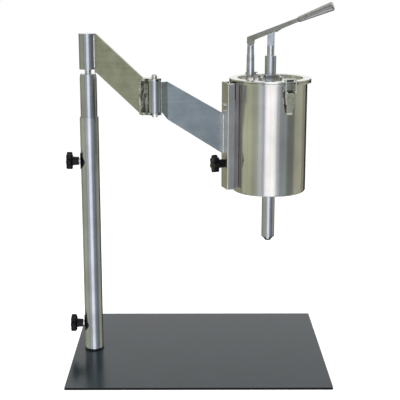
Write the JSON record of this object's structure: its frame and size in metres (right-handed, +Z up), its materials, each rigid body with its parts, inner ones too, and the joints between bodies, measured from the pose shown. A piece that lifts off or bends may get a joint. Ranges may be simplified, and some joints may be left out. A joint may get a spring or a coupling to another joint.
{
  "type": "batter dispenser",
  "caption": "Bakery batter dispenser: container with lever pump and outlet tube on a jointed swing arm, on a height-adjustable column with a flat base plate.",
  "frame": {"origin": "centre of the base plate's underside", "axes": "+Z up along the column, +X towards the container's side, +Y away from the viewer of the picture"},
  "size_m": [0.5961, 0.455, 0.8175],
  "materials": {
    "powder_coat": "fine-textured charcoal powder coat on steel",
    "stainless": "brushed stainless steel",
    "bright_steel": "polished stainless steel",
    "knob_plastic": "moulded black plastic",
    "nylon": "machined natural nylon",
    "seal_rubber": "moulded black rubber",
    "spring_steel": "drawn stainless spring wire"
  },
  "bodies": {
    "base": {"base_plate": "powder_coat", "column_spigot": "stainless", "spigot_screw": "bright_steel", "foot_ring": "knob_plastic"},
    "column": {"column_tube": "stainless", "clamp_bosses": "stainless", "saddle_pads": "knob_plastic"},
    "upper_knob": {"upper_knob_head": "knob_plastic", "upper_knob_stud": "bright_steel"},
    "lower_knob": {"lower_knob_head": "knob_plastic", "lower_knob_stud": "bright_steel"},
    "mast": {"mast_tube": "stainless", "mast_cap": "stainless", "swivel_pin": "bright_steel"},
    "upper_arm": {"swivel_sleeve": "stainless", "swivel_bearings": "nylon", "upper_arm_plate": "stainless", "elbow_clevis": "stainless", "elbow_bolt": "bright_steel", "elbow_nut": "bright_steel"},
    "lower_arm": {"elbow_sleeve": "stainless", "elbow_bushes": "nylon", "lower_arm_plate": "stainless", "holder_channel": "stainless", "hanger_block": "stainless", "hanger_screws": "bright_steel"},
    "holder_knob": {"holder_knob_head": "knob_plastic", "holder_knob_stud": "bright_steel"},
    "container": {"container_shell": "stainless", "container_flange": "stainless", "hanging_rail": "stainless", "outlet_tube": "stainless", "nozzle_tip": "stainless", "valve_guide": "stainless", "valve_spring": "spring_steel", "lid_plate": "stainless", "lid_gasket": "seal_rubber", "lid_nuts": "bright_steel", "tie_rods": "stainless", "pump_cylinder": "stainless", "pivot_post": "stainless", "guide_base": "stainless", "guide_sleeve": "stainless", "guide_bush": "nylon", "return_spring": "spring_steel", "latch_bases": "stainless", "latch_catches": "stainless"},
    "pump_piston": {"piston_rod": "bright_steel", "piston": "nylon", "piston_seals": "seal_rubber"},
    "lever": {"lever_bar": "stainless", "lever_grip": "bright_steel", "lever_pins": "bright_steel"},
    "valve": {"valve_plug": "seal_rubber"},
    "front_latch_lever": {"latch_lever_front": "bright_steel"},
    "front_latch_loop": {"latch_loop_front": "bright_steel"},
    "rear_latch_lever": {"latch_lever_rear": "bright_steel"},
    "rear_latch_loop": {"latch_loop_rear": "bright_steel"}
  },
  "joints": [
    {"name": "column_turn", "type": "hinge", "parent": "base", "child": "column", "pos_m": [-0.247, 0, 0.005], "axis": [0, 0, 1], "continuous": true},
    {"name": "lower_knob_turn", "type": "hinge", "parent": "column", "child": "lower_knob", "pos_m": [-0.247, 0, 0.067], "axis": [-1, 0, 0], "continuous": true},
    {"name": "upper_knob_turn", "type": "hinge", "parent": "column", "child": "upper_knob", "pos_m": [-0.247, 0, 0.4583], "axis": [-1, 0, 0], "continuous": true},
    {"name": "mast_slide", "type": "slide", "parent": "column", "child": "mast", "axis": [0, 0, 1], "range_m": [-0.095, 0.12]},
    {"name": "arm_swivel", "type": "hinge", "parent": "mast", "child": "upper_arm", "pos_m": [-0.247, 0, 0.6679], "axis": [0, 0, 1], "continuous": true},
    {"name": "elbow_turn", "type": "hinge", "parent": "upper_arm", "child": "lower_arm", "pos_m": [-0.09553, -0.07718, 0.58161], "axis": [0, 0, 1], "range_deg": [-158, 55]},
    {"name": "holder_knob_turn", "type": "hinge", "parent": "lower_arm", "child": "holder_knob", "pos_m": [0.05796, -0.03025, 0.45841], "axis": [-0.9563, -0.2924, 0], "continuous": true},
    {"name": "container_lift", "type": "slide", "parent": "lower_arm", "child": "container", "axis": [0, 0, 1], "range_m": [0, 0.25]},
    {"name": "lever_press", "type": "hinge", "parent": "container", "child": "lever", "pos_m": [0.11783, 0.01744, 0.72641], "axis": [0.342, 0.9397, 0], "range_deg": [0, 34]},
    {"name": "piston_slide", "type": "slide", "parent": "container", "child": "pump_piston", "axis": [0, 0, -1], "range_m": [0, 0.0285], "stiffness_N_per_m": 500, "springref_m": -0.06, "deforming": ["return_spring"]},
    {"name": "valve_open", "type": "slide", "parent": "container", "child": "valve", "axis": [0, 0, -1], "range_m": [0, 0.004], "stiffness_N_per_m": 400, "springref_m": -0.006, "deforming": ["valve_spring"]},
    {"name": "front_latch_open", "type": "hinge", "parent": "container", "child": "front_latch_lever", "pos_m": [0.20036, -0.08532, 0.62241], "axis": [-0.9135, -0.4067, 0], "range_deg": [0, 110]},
    {"name": "front_loop_tilt", "type": "hinge", "parent": "front_latch_lever", "child": "front_latch_loop", "pos_m": [0.20036, -0.08532, 0.61341], "axis": [-0.9135, -0.4067, 0], "range_deg": [-91, 0]},
    {"name": "rear_latch_open", "type": "hinge", "parent": "container", "child": "rear_latch_lever", "pos_m": [0.12308, 0.08826, 0.62241], "axis": [0.9135, 0.4067, 0], "range_deg": [0, 110]},
    {"name": "rear_loop_tilt", "type": "hinge", "parent": "rear_latch_lever", "child": "rear_latch_loop", "pos_m": [0.12308, 0.08826, 0.61341], "axis": [0.9135, 0.4067, 0], "range_deg": [-91, 0]}
  ],
  "couplings": [
    {"joint": "piston_slide", "follows": "lever_press", "m_per_rad": 0.048027},
    {"joint": "front_loop_tilt", "follows": "front_latch_open", "ratio": -0.82},
    {"joint": "rear_loop_tilt", "follows": "rear_latch_open", "ratio": -0.82}
  ]
}
